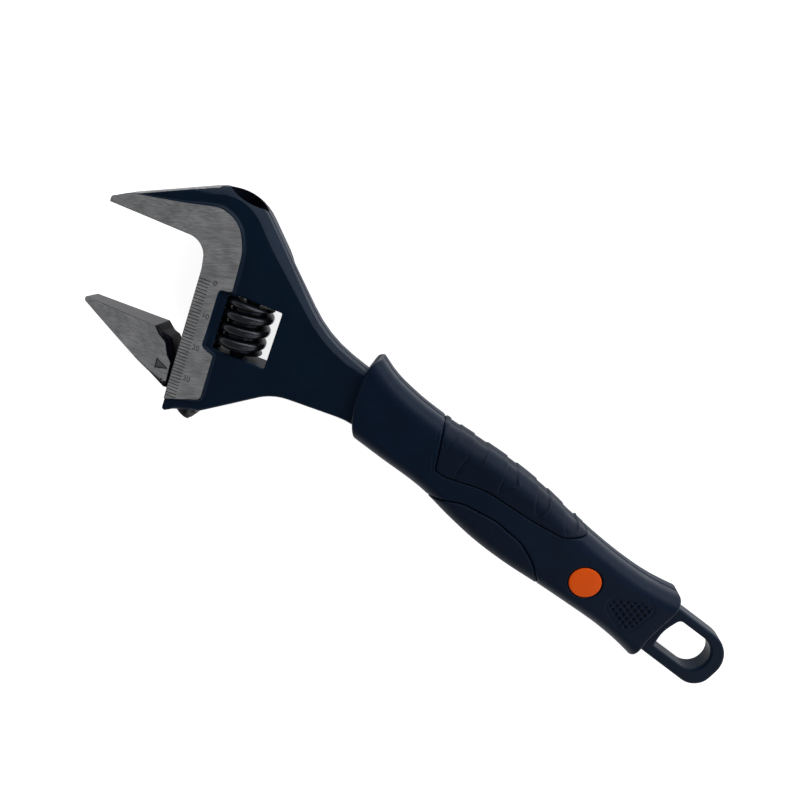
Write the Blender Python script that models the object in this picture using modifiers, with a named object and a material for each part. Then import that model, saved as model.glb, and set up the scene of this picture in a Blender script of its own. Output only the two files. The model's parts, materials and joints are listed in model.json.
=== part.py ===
"""Adjustable wrench with a wide opening, a worm-driven jaw and a two-material grip.

The wrench lies flat with its scale facing +Z. The handle runs along X, from the jaws at -X to
the hang loop at +X, and the spine and the fixed jaw are on the +Y side. Lengths are in metres.
"""
import bmesh
import bpy
from math import atan, cos, pi, radians, sin, tan
from mathutils import Matrix, Vector

MM = 0.001
GAP = 0.3 * MM                       # clearance between neighbouring pieces
CUT = 1.0 * MM                       # how far a cutter runs past what it cuts

# Handle frame: X along the handle, 0 inside the hang loop; Z = 0 is the wrench's middle plane.
LOOP_END = 6.1 * MM
JAW_TIP = -224.45 * MM
CROWN = 26.19 * MM
HEEL = -41.53 * MM
GRIP_HALF = 7.8 * MM

# Head frame: X goes deeper behind the throat, Y towards the fixed jaw, along the jaw's travel.
THROAT = Vector((-194.1, 8.93)) * MM
HEAD_ANGLE = radians(16)
THROAT_RADIUS = 5.5                  # this and the next three in mm, for the outlines
JAW_REACH = 31.2
OPENING = 28.7                       # between the jaws as stored
HEEL_DEPTH = 53.0                    # from the fixed jaw's face to the heel

HEAD_HALF = 4.7 * MM                 # half thickness of the coated forging
GROUND_HALF = 5.5 * MM               # half thickness over the ground faces
JAW_HALF = 5.3 * MM
SHANK_HALF = 3.0 * MM
TAPER_START = 5.0 * MM
TAPER = atan(2.1 / 25)               # the jaws thin towards their tips

RAIL_X = 6.2 * MM
RAIL_RADIUS = 3.7 * MM
RAIL_TOP = 7.0 * MM
RAIL_END = 53.4 * MM
RAIL_BORE_TOP = -35.0 * MM           # the bore runs out through the crown
WEB_HALF = 1.7 * MM
WEB_TOP = 36.4 * MM
WEB_END = 46.2 * MM
SLOT_TOP = 7.5 * MM
PAST_HEEL = 10.0 * MM                # how far the cutters run out below the heel

WORM_X = 15.7 * MM
WORM_Y = -19.8 * MM
WORM_LENGTH = 15.0 * MM
WORM_RADIUS = 7.3 * MM
WORM_ROOT = 5.4 * MM
PITCH = 4.0 * MM
CREST_HALF = 0.75 * MM
ROOT_HALF = 1.3 * MM
THREAD_TURNS = 6
TOOTH_COUNT = 12
FIRST_GROOVE = WORM_Y + 2.5 * PITCH  # the thread's ridges lie half a turn off the worm's middle

WINDOW_LEFT = 9.3 * MM
WINDOW_RIGHT = 25.6 * MM
WINDOW_TOP = 11.4 * MM
WINDOW_END = 28.9 * MM

PIN_RADIUS = 2.0 * MM
PIN_TOP = 6.0 * MM
PIN_HEAD_RADIUS = 3.0 * MM
PIN_HEAD_TOP = 40.2 * MM
PIN_HEAD_END = 42.6 * MM
SPRING_WIRE = 0.35 * MM              # wire radius
SPRING_RADIUS = 3.1 * MM
SPRING_POCKET = 3.9 * MM
SPRING_TOP = 25.0 * MM
SPRING_END = 28.3 * MM
SPRING_TURNS = 3
DRIVER_SLOT_HALF = 0.4 * MM
DRIVER_SLOT_DEPTH = 1.0 * MM

GRIP_EDGE = 5.0 * MM
PAD_DEPTH = 2.0 * MM
BADGE_PLACE = Vector((-47.2, -4.0)) * MM
BADGE_RADIUS = 4.85 * MM
BADGE_DEPTH = 1.2 * MM
BADGE_PROUD = 0.2 * MM

COATING = (0.012, 0.020, 0.034, 1)
GROUND_STEEL = (0.33, 0.33, 0.34, 1)
DARK_STEEL = (0.05, 0.05, 0.06, 1)
ORANGE = (0.58, 0.07, 0.01, 1)


def head_point(depth, opening):
    """Handle-frame x and y, in mm, of a point given in mm in the head frame."""
    along = Vector((cos(HEAD_ANGLE), sin(HEAD_ANGLE))) * depth
    across = Vector((sin(HEAD_ANGLE), -cos(HEAD_ANGLE))) * opening
    return tuple(THROAT / MM + along + across)


# Outlines are corners in mm: x, y and the radius that rounds the corner.
HEAD_OUTLINE = [
    (*head_point(-JAW_REACH, 0), 0.5), (-224.7, 1.8, 1.4), (-220.0, 6.6, 15), (-193.6, 29.5, 15),
    (-152.6, 6.6, 38), (-126, 5.6, 0), (-126, -9.4, 0), (-133.5, -9.8, 20), (-155, -16.9, 16),
    (-169.9, -35.5, 0.9), (*head_point(0, HEEL_DEPTH), 0.8), (*head_point(0, 7.8), 12),
    (*head_point(-1.1, 0), THROAT_RADIUS)]
GROUND_OUTLINE = [
    (*head_point(0.2 - JAW_REACH, 0.001), 0.3), (-224.3, 1.9, 1.3), (-220.0, 6.3, 8),
    (-206.0, 13.6, 30), (-197.2, 20.3, 4), (-190.3, 20.6, 6), (-184.6, 14.0, 12),
    (-182.4, 7.5, 30), (*head_point(11.1, 11.4), 0.4),
    (*head_point(7.0, 11.9), 0.8), (*head_point(7.0, 29.0), 1.2), (*head_point(11.0, 30.3), 1.2),
    (*head_point(11.2, 45.5), 2.5), (*head_point(0.001, 49.1), 0.3),
    (*head_point(0.001, 7.8), 12), (*head_point(-1.099, 0.001), THROAT_RADIUS)]
SHANK_OUTLINE = [
    (-132, 5.0, 0), (-27, 5.0, 3), (-24, 6.0, 3), (6.1, 6.0, 9.5), (6.1, -11.7, 6.5),
    (-24, -11.7, 3), (-28, -8.6, 3), (-132, -8.6, 0)]
HANG_HOLE = [(-17, 3.1, 1.5), (1.5, 3.1, 6.5), (1.5, -8.6, 5), (-17, -8.6, 1.5)]
JAW_OUTLINE = [
    (-JAW_REACH, -OPENING, 0.5), (-7.9, -OPENING, 0.4), (-6.6, -30.0, 0.8), (-3.4, -30.6, 2),
    (-0.4, -36.2, 1.5), (-0.4, -46.6, 0.8), (-JAW_REACH, -29.7, 0.7)]
RAIL_NOSE = [
    (12, -50.2, 0), (10.0, -50.9, 0), (8.2, -53.3, 0.3), (1, -50.2, 0), (1, -60, 0), (12, -60, 0)]
SPINE_PAD = [
    (-111, 17, 0), (-110.1, 8.5, 1.5), (-103.8, -4.2, 1.5), (-100.6, -4.0, 3),
    (-88.7, 0.3, 20), (-72.3, 1.4, 20), (-61.5, 2.9, 8), (-55.5, 7.8, 4), (-54, 17, 0)]
BELLY_PAD = [
    (-101, -19, 0), (-100.3, -12.3, 0.5), (-91, -7.2, 10), (-80.5, -5.4, 10), (-70, -6.1, 10),
    (-63.5, -8.8, 12), (-57.4, -13.6, 0.5), (-56, -19, 0)]
FRONT_END = [
    (-150, 20, 0), (-138.3, 20, 0), (-137.0, 6.5, 20), (-134.0, -2.6, 20), (-127, -14.5, 3),
    (-125, -20, 0), (-150, -20, 0)]
REAR_END = [
    (0, 20, 0), (-22, 20, 0), (-19.6, 8, 10), (-20.4, -6, 20), (-18, -20, 0), (0, -20, 0)]

# The grip's edges on the spine side and the belly side, as x and y in mm along its length.
SPINE_EDGE = [
    (-142, 14.2), (-137, 12.5), (-130, 10.1), (-121, 8.8), (-110, 8.6), (-98, 9.4), (-86, 10.0),
    (-74, 9.7), (-62, 8.4), (-50, 7.4), (-40, 7.1), (-30, 7.6), (-20, 9.5), (-13, 11.5)]
BELLY_EDGE = [
    (-142, -12.4), (-120, -12.5), (-102, -12.6), (-91, -14.3), (-81, -15.4), (-69, -15.5),
    (-57, -14.7), (-45, -14.1), (-34, -13.8), (-26, -14.3), (-18, -15.5), (-13, -16.5)]
GRIP_STATIONS = 22
GRIP_START = -141
GRIP_STOP = -15


def fresh_collection(name):
    collection = bpy.data.collections.new(name)
    bpy.context.scene.collection.children.link(collection)
    return collection


def material(name, colour, roughness, metallic):
    surface = bpy.data.materials.new(name)
    surface.use_nodes = True
    shader = surface.node_tree.nodes["Principled BSDF"]
    shader.inputs["Base Color"].default_value = colour
    shader.inputs["Roughness"].default_value = roughness
    shader.inputs["Metallic"].default_value = metallic
    return surface


def empty(name, parent, location, angle=0.0):
    guide = bpy.data.objects.new(name, None)
    guide.parent = parent
    guide.location = location
    guide.rotation_euler.z = angle
    parts.objects.link(guide)
    return guide


def place(thing, parent, collection):
    """Puts an object under its parent; a cutter is also drawn as wire and never rendered."""
    for other in list(thing.users_collection):
        other.objects.unlink(thing)
    collection.objects.link(thing)
    thing.parent = parent
    if collection is cutters:
        thing.hide_render = True
        thing.display_type = "WIRE"
    return thing


def from_bmesh(name, shape, parent, collection):
    bmesh.ops.recalc_face_normals(shape, faces=shape.faces[:])
    mesh = bpy.data.meshes.new(name)
    shape.to_mesh(mesh)
    shape.free()
    return place(bpy.data.objects.new(name, mesh), parent, collection)


def rounded(corners, offset=0.0):
    """The outline through the corners in metres, each rounded, and grown outwards by offset."""
    count = len(corners)
    points = [Vector(corner[:2]) for corner in corners]
    area = sum(points[i - 1].cross(points[i]) for i in range(count))
    outward = 1 if area > 0 else -1
    outline = []
    for index, here in enumerate(points):
        before = (points[index - 1] - here).normalized()
        after = (points[(index + 1) % count] - here).normalized()
        turn = 1 if before.cross(after) > 0 else -1
        half_angle = before.angle(after) / 2
        middle = (before + after).normalized()
        shift = turn * outward * offset / MM
        radius = max(corners[index][2] - shift, 0.0)
        vertex = here + middle * shift / sin(half_angle)
        if radius == 0:
            outline.append(vertex * MM)
            continue
        centre = vertex + middle * radius / sin(half_angle)
        start = vertex + before * radius / tan(half_angle) - centre
        sweep = pi - 2 * half_angle
        steps = max(2, round(sweep / radians(12)))
        for step in range(steps + 1):
            spoke = Matrix.Rotation(-turn * sweep * step / steps, 2) @ start
            outline.append((centre + spoke) * MM)
    return outline


def plate(name, outline, half, parent, collection):
    """A flat outline, 2 half thick, as a filled 2D curve made into a mesh."""
    curve = bpy.data.curves.new(name, "CURVE")
    curve.dimensions = "2D"
    curve.fill_mode = "BOTH"
    curve.extrude = half
    spline = curve.splines.new("POLY")
    spline.points.add(len(outline) - 1)
    for point, (x, y) in zip(spline.points, outline):
        point.co = (x, y, 0, 1)
    spline.use_cyclic_u = True
    return mesh_from_curve(curve, parent, collection)


def mesh_from_curve(curve, parent, collection):
    """Turns a curve into a closed mesh, with its caps welded on."""
    drawn = bpy.data.objects.new(curve.name, curve)
    parts.objects.link(drawn)
    view = bpy.context.evaluated_depsgraph_get()
    mesh = bpy.data.meshes.new_from_object(drawn.evaluated_get(view))
    mesh.name = curve.name
    bpy.data.objects.remove(drawn)
    shape = bmesh.new()
    shape.from_mesh(mesh)
    bmesh.ops.remove_doubles(shape, verts=shape.verts[:], dist=0.00001)
    shape.to_mesh(mesh)
    shape.free()
    return place(bpy.data.objects.new(mesh.name, mesh), parent, collection)


def box(name, low, high, parent, collection):
    shape = bmesh.new()
    size = Vector(high) - Vector(low)
    matrix = Matrix.Translation((Vector(high) + Vector(low)) / 2) @ Matrix.Diagonal((*size, 1))
    bmesh.ops.create_cube(shape, size=1, matrix=matrix)
    return from_bmesh(name, shape, parent, collection)


def rod(name, radius, top, end, parent, collection, x=0.0, sides=32):
    """A cylinder along the head frame's Y; top and end are depths below the fixed jaw's face."""
    shape = bmesh.new()
    middle = Matrix.Translation((x, -(top + end) / 2, 0))
    bmesh.ops.create_cone(shape, cap_ends=True, segments=sides, radius1=radius, radius2=radius,
                          depth=end - top, matrix=middle @ Matrix.Rotation(pi / 2, 4, "X"))
    return from_bmesh(name, shape, parent, collection)


def boolean(target, tool, operation="DIFFERENCE"):
    step = target.modifiers.new(f"{operation.lower()} {tool.name}", "BOOLEAN")
    step.operation = operation
    step.solver = "EXACT"
    step.object = tool


def bevel(target, width, segments=2, limit=40):
    step = target.modifiers.new("bevel", "BEVEL")
    step.width = width
    step.segments = segments
    step.limit_method = "ANGLE"
    step.angle_limit = radians(limit)


def finish(thing, surface, smooth_angle=35):
    thing.data.materials.clear()
    thing.data.materials.append(surface)
    thing.data.shade_smooth()
    thing.data.set_sharp_from_angle(angle=radians(smooth_angle))


def through_points(points, x):
    """Catmull-Rom height at x along a list of x and y points."""
    last = len(points) - 1
    index = max(i for i in range(last) if points[i][0] <= x)
    (x1, y1), (x2, y2) = points[index], points[index + 1]
    x0, y0 = points[max(index - 1, 0)]
    x3, y3 = points[min(index + 2, last)]
    slope1 = (y2 - y0) / (x2 - x0)
    slope2 = (y3 - y1) / (x3 - x1)
    span = x2 - x1
    t = (x - x1) / span
    return (y1 * (2 * t**3 - 3 * t**2 + 1) + slope1 * span * (t**3 - 2 * t**2 + t)
            + y2 * (3 * t**2 - 2 * t**3) + slope2 * span * (t**3 - t**2))


def grip_ring(x, inset):
    """One section of the grip at x: a rounded rectangle, inset all round."""
    top = through_points(SPINE_EDGE, x) * MM - inset
    bottom = through_points(BELLY_EDGE, x) * MM + inset
    half = GRIP_HALF - inset
    radius = GRIP_EDGE - 0.5 * inset
    corner_steps = 4
    ring = []
    for side, (y, z) in enumerate([(top, half), (bottom, half), (bottom, -half), (top, -half)]):
        centre_y = y - radius if y == top else y + radius
        centre_z = z - radius if z > 0 else z + radius
        for step in range(corner_steps + 1):
            angle = pi / 2 * (side + step / corner_steps)
            ring.append((x * MM, centre_y + radius * cos(angle), centre_z + radius * sin(angle)))
    return ring


def grip_form(name, inset, parent, collection):
    """The whole grip's outer form as a loft, before its ends are cut to shape."""
    shape = bmesh.new()
    rings = []
    for station in range(GRIP_STATIONS + 1):
        x = GRIP_START + (GRIP_STOP - GRIP_START) * station / GRIP_STATIONS
        rings.append([shape.verts.new(point) for point in grip_ring(x, inset)])
    count = len(rings[0])
    for near, far in zip(rings, rings[1:]):
        for index in range(count):
            after = (index + 1) % count
            shape.faces.new((near[index], near[after], far[after], far[index]))
    shape.faces.new(rings[0])
    shape.faces.new(rings[-1])
    return from_bmesh(name, shape, parent, collection)


def taper_cutter():
    """Thins both jaws towards their tips, from the front and from the back."""
    reach = Vector((60, 80, 10)) * MM
    wedge = box("jaw taper", (-reach.x, -reach.y, 0), (0, reach.y, reach.z), head, cutters)
    wedge.location = (-TAPER_START, 0, GROUND_HALF)
    wedge.rotation_euler.y = -TAPER
    mirror = wedge.modifiers.new("front and back", "MIRROR")
    mirror.use_axis = (False, False, True)
    mirror.mirror_object = head
    mirror.use_mirror_merge = False
    return wedge


def make_body():
    """The forging: fixed jaw, head and neck, with the shank and the hang loop."""
    body = plate("body", rounded(HEAD_OUTLINE), HEAD_HALF, root, parts)
    bevel(body, 0.9 * MM)
    ground = plate("ground faces", rounded(GROUND_OUTLINE), GROUND_HALF, root, cutters)
    bevel(ground, 0.3 * MM, segments=1, limit=60)
    shank = plate("shank", rounded(SHANK_OUTLINE), SHANK_HALF, root, cutters)
    bevel(shank, 0.9 * MM)
    boolean(body, ground, "UNION")
    boolean(body, shank, "UNION")
    far = HEEL_DEPTH * MM + PAST_HEEL
    tall = GROUND_HALF + CUT
    clear_radius = RAIL_RADIUS + GAP
    tools = [
        taper,
        plate("hang hole", rounded(HANG_HOLE), tall, root, cutters),
        box("worm window", (WINDOW_LEFT, -WINDOW_END, -tall), (WINDOW_RIGHT, -WINDOW_TOP, tall),
            head, cutters),
        rod("worm clearance", WORM_RADIUS + GAP, WINDOW_TOP, WINDOW_END, head, cutters, WORM_X,
            sides=40),
        rod("rail bore", clear_radius, RAIL_BORE_TOP, far, head, cutters, RAIL_X),
        box("web slot", (-PAST_HEEL, -far, -WEB_HALF - GAP), (RAIL_X, -SLOT_TOP, WEB_HALF + GAP),
            head, cutters),
        rod("pin hole", PIN_RADIUS + GAP, PIN_TOP - GAP, PIN_HEAD_TOP, head, cutters, WORM_X,
            sides=24),
        rod("pin counterbore", PIN_HEAD_RADIUS + GAP, PIN_HEAD_TOP - GAP, far, head, cutters,
            WORM_X, sides=24)]
    for tool in tools:
        boolean(body, tool)
    finish(body, coating)


def make_movable_jaw():
    """The lower jaw with its web, and the round rail that the worm drives."""
    jaw = plate("movable_jaw", rounded(JAW_OUTLINE), JAW_HALF, head, parts)
    bevel(jaw, 0.4 * MM, segments=1)
    web = box("jaw web", (-2 * CUT, -WEB_END, -WEB_HALF), (RAIL_X, -WEB_TOP, WEB_HALF), head,
              cutters)
    rail = rod("jaw rail", RAIL_RADIUS, RAIL_TOP, RAIL_END, head, cutters, RAIL_X)
    bevel(rail, 0.5 * MM, segments=1)
    boolean(jaw, taper)
    boolean(jaw, web, "UNION")
    boolean(jaw, rail, "UNION")
    boolean(jaw, rack_cutter())
    boolean(jaw, plate("rail nose", rounded(RAIL_NOSE), RAIL_RADIUS + CUT, head, cutters))
    finish(jaw, ground_steel)


def rack_cutter():
    """Slanting grooves along the rail that the worm's thread runs in."""
    groove_floor = WORM_X - WORM_RADIUS - GAP
    slope = (ROOT_HALF - CREST_HALF) / (WORM_RADIUS - WORM_ROOT)
    mouth = RAIL_X + RAIL_RADIUS + CUT
    floor_half = CREST_HALF + GAP - slope * GAP
    mouth_half = floor_half + slope * (mouth - groove_floor)
    lead_slope = PITCH / (2 * pi * (WORM_RADIUS + WORM_ROOT) / 2)
    tall = RAIL_RADIUS + CUT
    shape = bmesh.new()
    for tooth in range(TOOTH_COUNT):
        middle = FIRST_GROOVE - PITCH * tooth
        corners = []
        for z in (-tall, tall):
            y = middle + lead_slope * z
            profile = [(groove_floor, -floor_half), (mouth, -mouth_half), (mouth, mouth_half),
                       (groove_floor, floor_half)]
            corners.append([shape.verts.new((x, y + across, z)) for x, across in profile])
        low, high = corners
        shape.faces.new(low)
        shape.faces.new(high)
        for index in range(4):
            after = (index + 1) % 4
            shape.faces.new((low[index], low[after], high[after], high[index]))
    return from_bmesh("rack grooves", shape, head, cutters)


def make_worm():
    """The knurl: one coarse right-hand thread on a drum, turning on the pin."""
    profile = [(WORM_ROOT, -PITCH / 2), (WORM_ROOT, -ROOT_HALF), (WORM_RADIUS, -CREST_HALF),
               (WORM_RADIUS, CREST_HALF), (WORM_ROOT, ROOT_HALF), (WORM_ROOT, PITCH / 2)]
    line = bpy.data.meshes.new("worm thread")
    edges = [(index, index + 1) for index in range(len(profile) - 1)]
    line.from_pydata([(x, 0, z - THREAD_TURNS * PITCH / 2) for x, z in profile], edges, [])
    thread = place(bpy.data.objects.new("worm thread", line), head, parts)
    screw = thread.modifiers.new("thread", "SCREW")
    screw.screw_offset = PITCH
    screw.iterations = THREAD_TURNS
    screw.steps = 30
    screw.render_steps = screw.steps
    screw.use_merge_vertices = True
    screw.merge_threshold = 0.00001
    weld = thread.modifiers.new("weld turns", "WELD")
    weld.merge_threshold = 0.00001
    view = bpy.context.evaluated_depsgraph_get()
    mesh = bpy.data.meshes.new_from_object(thread.evaluated_get(view))
    bpy.data.objects.remove(thread)
    shape = bmesh.new()
    shape.from_mesh(mesh)
    ends = bmesh.ops.holes_fill(shape, edges=shape.edges[:], sides=0)["faces"]
    bmesh.ops.poke(shape, faces=ends)
    worm = from_bmesh("worm", shape, worm_axis, parts)
    worm.rotation_euler.x = -pi / 2
    half = WORM_LENGTH / 2
    drum = worm_rod("worm drum", WORM_RADIUS + CUT, -half, half, 40)
    bevel(drum, 2.0 * MM, segments=1)
    boolean(worm, drum, "INTERSECT")
    boolean(worm, worm_rod("worm bore", PIN_RADIUS + GAP, -half - CUT, half + CUT, 24))
    pocket_floor = -WORM_Y - (SPRING_TOP - GAP)
    boolean(worm, worm_rod("spring pocket", SPRING_POCKET, -half - CUT, pocket_floor, 24))
    finish(worm, dark_steel)


def worm_rod(name, radius, low, high, sides):
    """A cutter along the worm's own axis, from low to high towards the fixed jaw."""
    return rod(name, radius, -high, -low, worm_axis, cutters, sides=sides)


def make_worm_pin():
    """The screw that the worm turns on, put in from the heel."""
    pin = rod("worm_pin", PIN_RADIUS, PIN_TOP, PIN_HEAD_TOP + GAP, head, parts, WORM_X, sides=24)
    bevel(pin, 0.3 * MM, segments=1)
    pin_head = rod("pin head", PIN_HEAD_RADIUS, PIN_HEAD_TOP, PIN_HEAD_END, head, cutters,
                   WORM_X, sides=24)
    boolean(pin, pin_head, "UNION")
    reach = PIN_HEAD_RADIUS + CUT
    slot_low = (WORM_X - reach, -PIN_HEAD_END - CUT, -DRIVER_SLOT_HALF)
    slot_high = (WORM_X + reach, -PIN_HEAD_END + DRIVER_SLOT_DEPTH, DRIVER_SLOT_HALF)
    boolean(pin, box("driver slot", slot_low, slot_high, head, cutters))
    finish(pin, dark_steel)


def make_worm_spring():
    """The small spring in the worm's lower end that takes up its play."""
    curve = bpy.data.curves.new("worm_spring", "CURVE")
    curve.dimensions = "3D"
    curve.bevel_depth = SPRING_WIRE
    curve.bevel_resolution = 2
    curve.use_fill_caps = True
    steps = SPRING_TURNS * 16
    spline = curve.splines.new("POLY")
    spline.points.add(steps)
    for step, point in enumerate(spline.points):
        angle = 2 * pi * SPRING_TURNS * step / steps
        y = -SPRING_TOP - (SPRING_END - SPRING_TOP) * step / steps
        point.co = (WORM_X + SPRING_RADIUS * cos(angle), y, SPRING_RADIUS * sin(angle), 1)
    spring = mesh_from_curve(curve, head, parts)
    finish(spring, dark_steel)


def make_grip():
    """The hard sleeve with its two soft pads let in, and the round badge."""
    sleeve = grip_form("grip_sleeve", 0, root, parts)
    core = grip_form("grip core", PAD_DEPTH + GAP, root, cutters)
    pad_bed = grip_form("pad bed", PAD_DEPTH, root, cutters)
    tall = GRIP_HALF + CUT
    for name, outline in (("grip_spine_pad", SPINE_PAD), ("grip_belly_pad", BELLY_PAD)):
        pad = plate(name, rounded(outline), tall, root, parts)
        boolean(pad, grip_form(f"{name} skin", 0, root, cutters), "INTERSECT")
        boolean(pad, pad_bed)
        finish(pad, soft_grip)
        recess = plate(f"{name} recess", rounded(outline, GAP), tall, root, cutters)
        boolean(recess, core)
        boolean(sleeve, recess)
    badge_floor = GRIP_HALF + BADGE_PROUD - BADGE_DEPTH
    tools = [
        plate("front end", rounded(FRONT_END), tall, root, cutters),
        plate("rear end", rounded(REAR_END), tall, root, cutters),
        plate("neck clearance", rounded(HEAD_OUTLINE, GAP), HEAD_HALF + GAP, root, cutters),
        plate("shank clearance", rounded(SHANK_OUTLINE, GAP), SHANK_HALF + GAP, root, cutters),
        disc("badge pocket", BADGE_RADIUS + GAP, badge_floor - GAP, tall, cutters)]
    for tool in tools:
        boolean(sleeve, tool)
    finish(sleeve, hard_grip)
    badge = disc("grip_badge", BADGE_RADIUS, badge_floor, GRIP_HALF + BADGE_PROUD, parts)
    bevel(badge, 0.25 * MM, segments=1)
    finish(badge, orange)


def disc(name, radius, low, high, collection):
    """A round disc lying in the grip's front face at the badge's place."""
    shape = bmesh.new()
    middle = Matrix.Translation((*BADGE_PLACE, (low + high) / 2))
    bmesh.ops.create_cone(shape, cap_ends=True, segments=40, radius1=radius, radius2=radius,
                          depth=high - low, matrix=middle)
    return from_bmesh(name, shape, root, collection)


for old in list(bpy.data.objects):
    bpy.data.objects.remove(old, do_unlink=True)

parts = fresh_collection("adjustable wrench")
cutters = fresh_collection("cutters")

coating = material("blue black coating", COATING, 0.45, 0.3)
ground_steel = material("ground steel", GROUND_STEEL, 0.42, 0.9)
dark_steel = material("dark steel", DARK_STEEL, 0.4, 0.8)
hard_grip = material("hard grip", COATING, 0.5, 0.0)
soft_grip = material("soft grip", COATING, 0.6, 0.0)
orange = material("orange badge", ORANGE, 0.5, 0.0)

# The origin is under the middle of the wrench's box, on the surface it lies on.
box_middle = Vector(((LOOP_END + JAW_TIP) / 2, (CROWN + HEEL) / 2))
root = empty("wrench origin", None, (-box_middle.x, -box_middle.y, GRIP_HALF))
head = empty("head frame", root, (*THROAT, 0), HEAD_ANGLE)
worm_axis = empty("worm axis", head, (WORM_X, WORM_Y, 0))

taper = taper_cutter()
make_body()
make_movable_jaw()
make_worm()
make_worm_pin()
make_worm_spring()
make_grip()
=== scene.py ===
# Adjustable wrench, lying on its back with the scale up.
# Lengths are mm in the handle's frame: x along the handle with 0 inside the hang loop, y towards
# the spine, z from the middle of the thickness. toWorld() turns them into metres.
import json
from math import cos, pi, radians, sin, tan

import bmesh
import bpy
import numpy as np
from mathutils import Matrix, Vector
from mathutils.geometry import tessellate_polygon

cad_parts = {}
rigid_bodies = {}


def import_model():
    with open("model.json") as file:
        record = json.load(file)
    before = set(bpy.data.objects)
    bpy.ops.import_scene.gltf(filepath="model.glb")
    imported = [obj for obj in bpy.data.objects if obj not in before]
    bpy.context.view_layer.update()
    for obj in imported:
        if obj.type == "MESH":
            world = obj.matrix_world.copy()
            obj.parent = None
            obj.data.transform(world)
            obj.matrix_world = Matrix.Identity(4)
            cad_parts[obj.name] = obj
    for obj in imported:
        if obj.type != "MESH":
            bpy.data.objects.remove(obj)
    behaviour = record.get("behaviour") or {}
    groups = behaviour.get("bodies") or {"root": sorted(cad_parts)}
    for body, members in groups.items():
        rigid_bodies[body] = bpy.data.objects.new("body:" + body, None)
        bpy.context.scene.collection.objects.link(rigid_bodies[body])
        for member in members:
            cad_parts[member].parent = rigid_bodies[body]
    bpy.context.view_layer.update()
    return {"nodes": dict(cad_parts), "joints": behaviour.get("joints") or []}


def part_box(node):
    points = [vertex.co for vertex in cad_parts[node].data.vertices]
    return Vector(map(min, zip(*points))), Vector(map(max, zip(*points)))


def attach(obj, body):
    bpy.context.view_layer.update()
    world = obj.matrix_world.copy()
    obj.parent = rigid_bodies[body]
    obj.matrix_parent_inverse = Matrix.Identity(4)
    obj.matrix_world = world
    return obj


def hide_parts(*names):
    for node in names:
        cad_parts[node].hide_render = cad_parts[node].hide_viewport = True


for thing in list(bpy.data.objects):
    bpy.data.objects.remove(thing, do_unlink=True)
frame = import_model()
print("frame loaded:", len(frame["nodes"]), "nodes")

bodyLow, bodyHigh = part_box("body")
loopEnd = 6.1                       # x of the hang loop's end
boxShift = 7.67                     # from the middle of the body's width to the handle's line
origin = Vector((bodyHigh.x - loopEnd / 1000, (bodyLow.y + bodyHigh.y) / 2 + boxShift / 1000,
                 frame["joints"][0]["pos_m"][2]))
throat = Vector((-194.1, 8.93))     # corner of the fixed jaw's face and the throat's wall
headAngle = radians(16)
wormDepth = 15.7                    # worm axis behind the throat
railDepth = 6.2                     # rail axis behind the throat
jawReach = 31.2
taperStart = 5.0                    # the jaws get thinner from here out
taper = 2.1 / 25


def headPoint(depth, drop):
    # x, y of a point depth behind the throat's wall and drop below the fixed jaw's face
    return (throat.x + depth * cos(headAngle) + drop * sin(headAngle),
            throat.y + depth * sin(headAngle) - drop * cos(headAngle))


def headCoords(x, y):
    # the way back: depth and drop of handle points
    across, along = x - throat.x, y - throat.y
    return (across * cos(headAngle) + along * sin(headAngle),
            across * sin(headAngle) - along * cos(headAngle))


def headCorners(points):
    # outline corners (x, y, radius) from (depth, drop, radius)
    return [(*headPoint(depth, drop), radius) for depth, drop, radius in points]


def toWorld(points):
    return np.asarray(points, float)[..., :3] / 1000 + np.array(origin)


def smoothStep(low, high, value):
    part = np.clip((value - low) / (high - low), 0, 1)
    return part * part * (3 - 2 * part)


# Meshes

def newObject(name, data, finish=None):
    thing = bpy.data.objects.new(name, data)
    bpy.context.scene.collection.objects.link(thing)
    if finish:
        data.materials.append(finish)
    return thing


def fromShape(name, shape, finish=None):
    bmesh.ops.remove_doubles(shape, verts=shape.verts[:], dist=1e-6)
    bmesh.ops.recalc_face_normals(shape, faces=shape.faces[:])
    mesh = bpy.data.meshes.new(name)
    shape.to_mesh(mesh)
    shape.free()
    return newObject(name, mesh, finish)


def outlineRings(corners, grows, spacing=2.0, stepAngle=7):
    # The rounded outline through corners (x, y, radius), grown by each amount, point for point.
    # Also returns where each point is, counted in corners.
    points = [Vector(corner[:2]) for corner in corners]
    count = len(points)
    area = sum(points[k - 1].cross(points[k]) for k in range(count))
    outward = 1 if area > 0 else -1
    rings, between, stations = [], None, []
    for grow in (0, *grows):
        arcs = []
        for k, here in enumerate(points):
            before = (points[k - 1] - here).normalized()
            after = (points[(k + 1) % count] - here).normalized()
            turn = 1 if before.cross(after) > 0 else -1
            halfAngle = before.angle(after) / 2
            middle = (before + after).normalized()
            shift = turn * outward * grow
            vertex = here + middle * shift / sin(halfAngle)
            if corners[k][2] == 0:
                arcs.append([vertex])
                continue
            radius = max(corners[k][2] - shift, 0.0)
            centre = vertex + middle * radius / sin(halfAngle)
            start = vertex + before * radius / tan(halfAngle) - centre
            sweep = pi - 2 * halfAngle
            steps = max(2, round(sweep / radians(stepAngle)))
            arcs.append([centre + Matrix.Rotation(-turn * sweep * step / steps, 2) @ start
                         for step in range(steps + 1)])
        if between is None:
            between = [max(1, round((arcs[(k + 1) % count][0] - arcs[k][-1]).length / spacing))
                       for k in range(count)]
            for k, arc in enumerate(arcs):
                stations += [k] * len(arc)
                stations += [k + step / between[k] for step in range(1, between[k])]
        ring = []
        for k, arc in enumerate(arcs):
            ring += arc
            ahead = arcs[(k + 1) % count][0]
            ring += [arc[-1].lerp(ahead, step / between[k]) for step in range(1, between[k])]
        rings.append(np.array(ring))
    return rings[1:], np.array(stations)


def roundedOutline(corners, spacing=2.0):
    return outlineRings(corners, (0,), spacing)[0][0]


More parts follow.
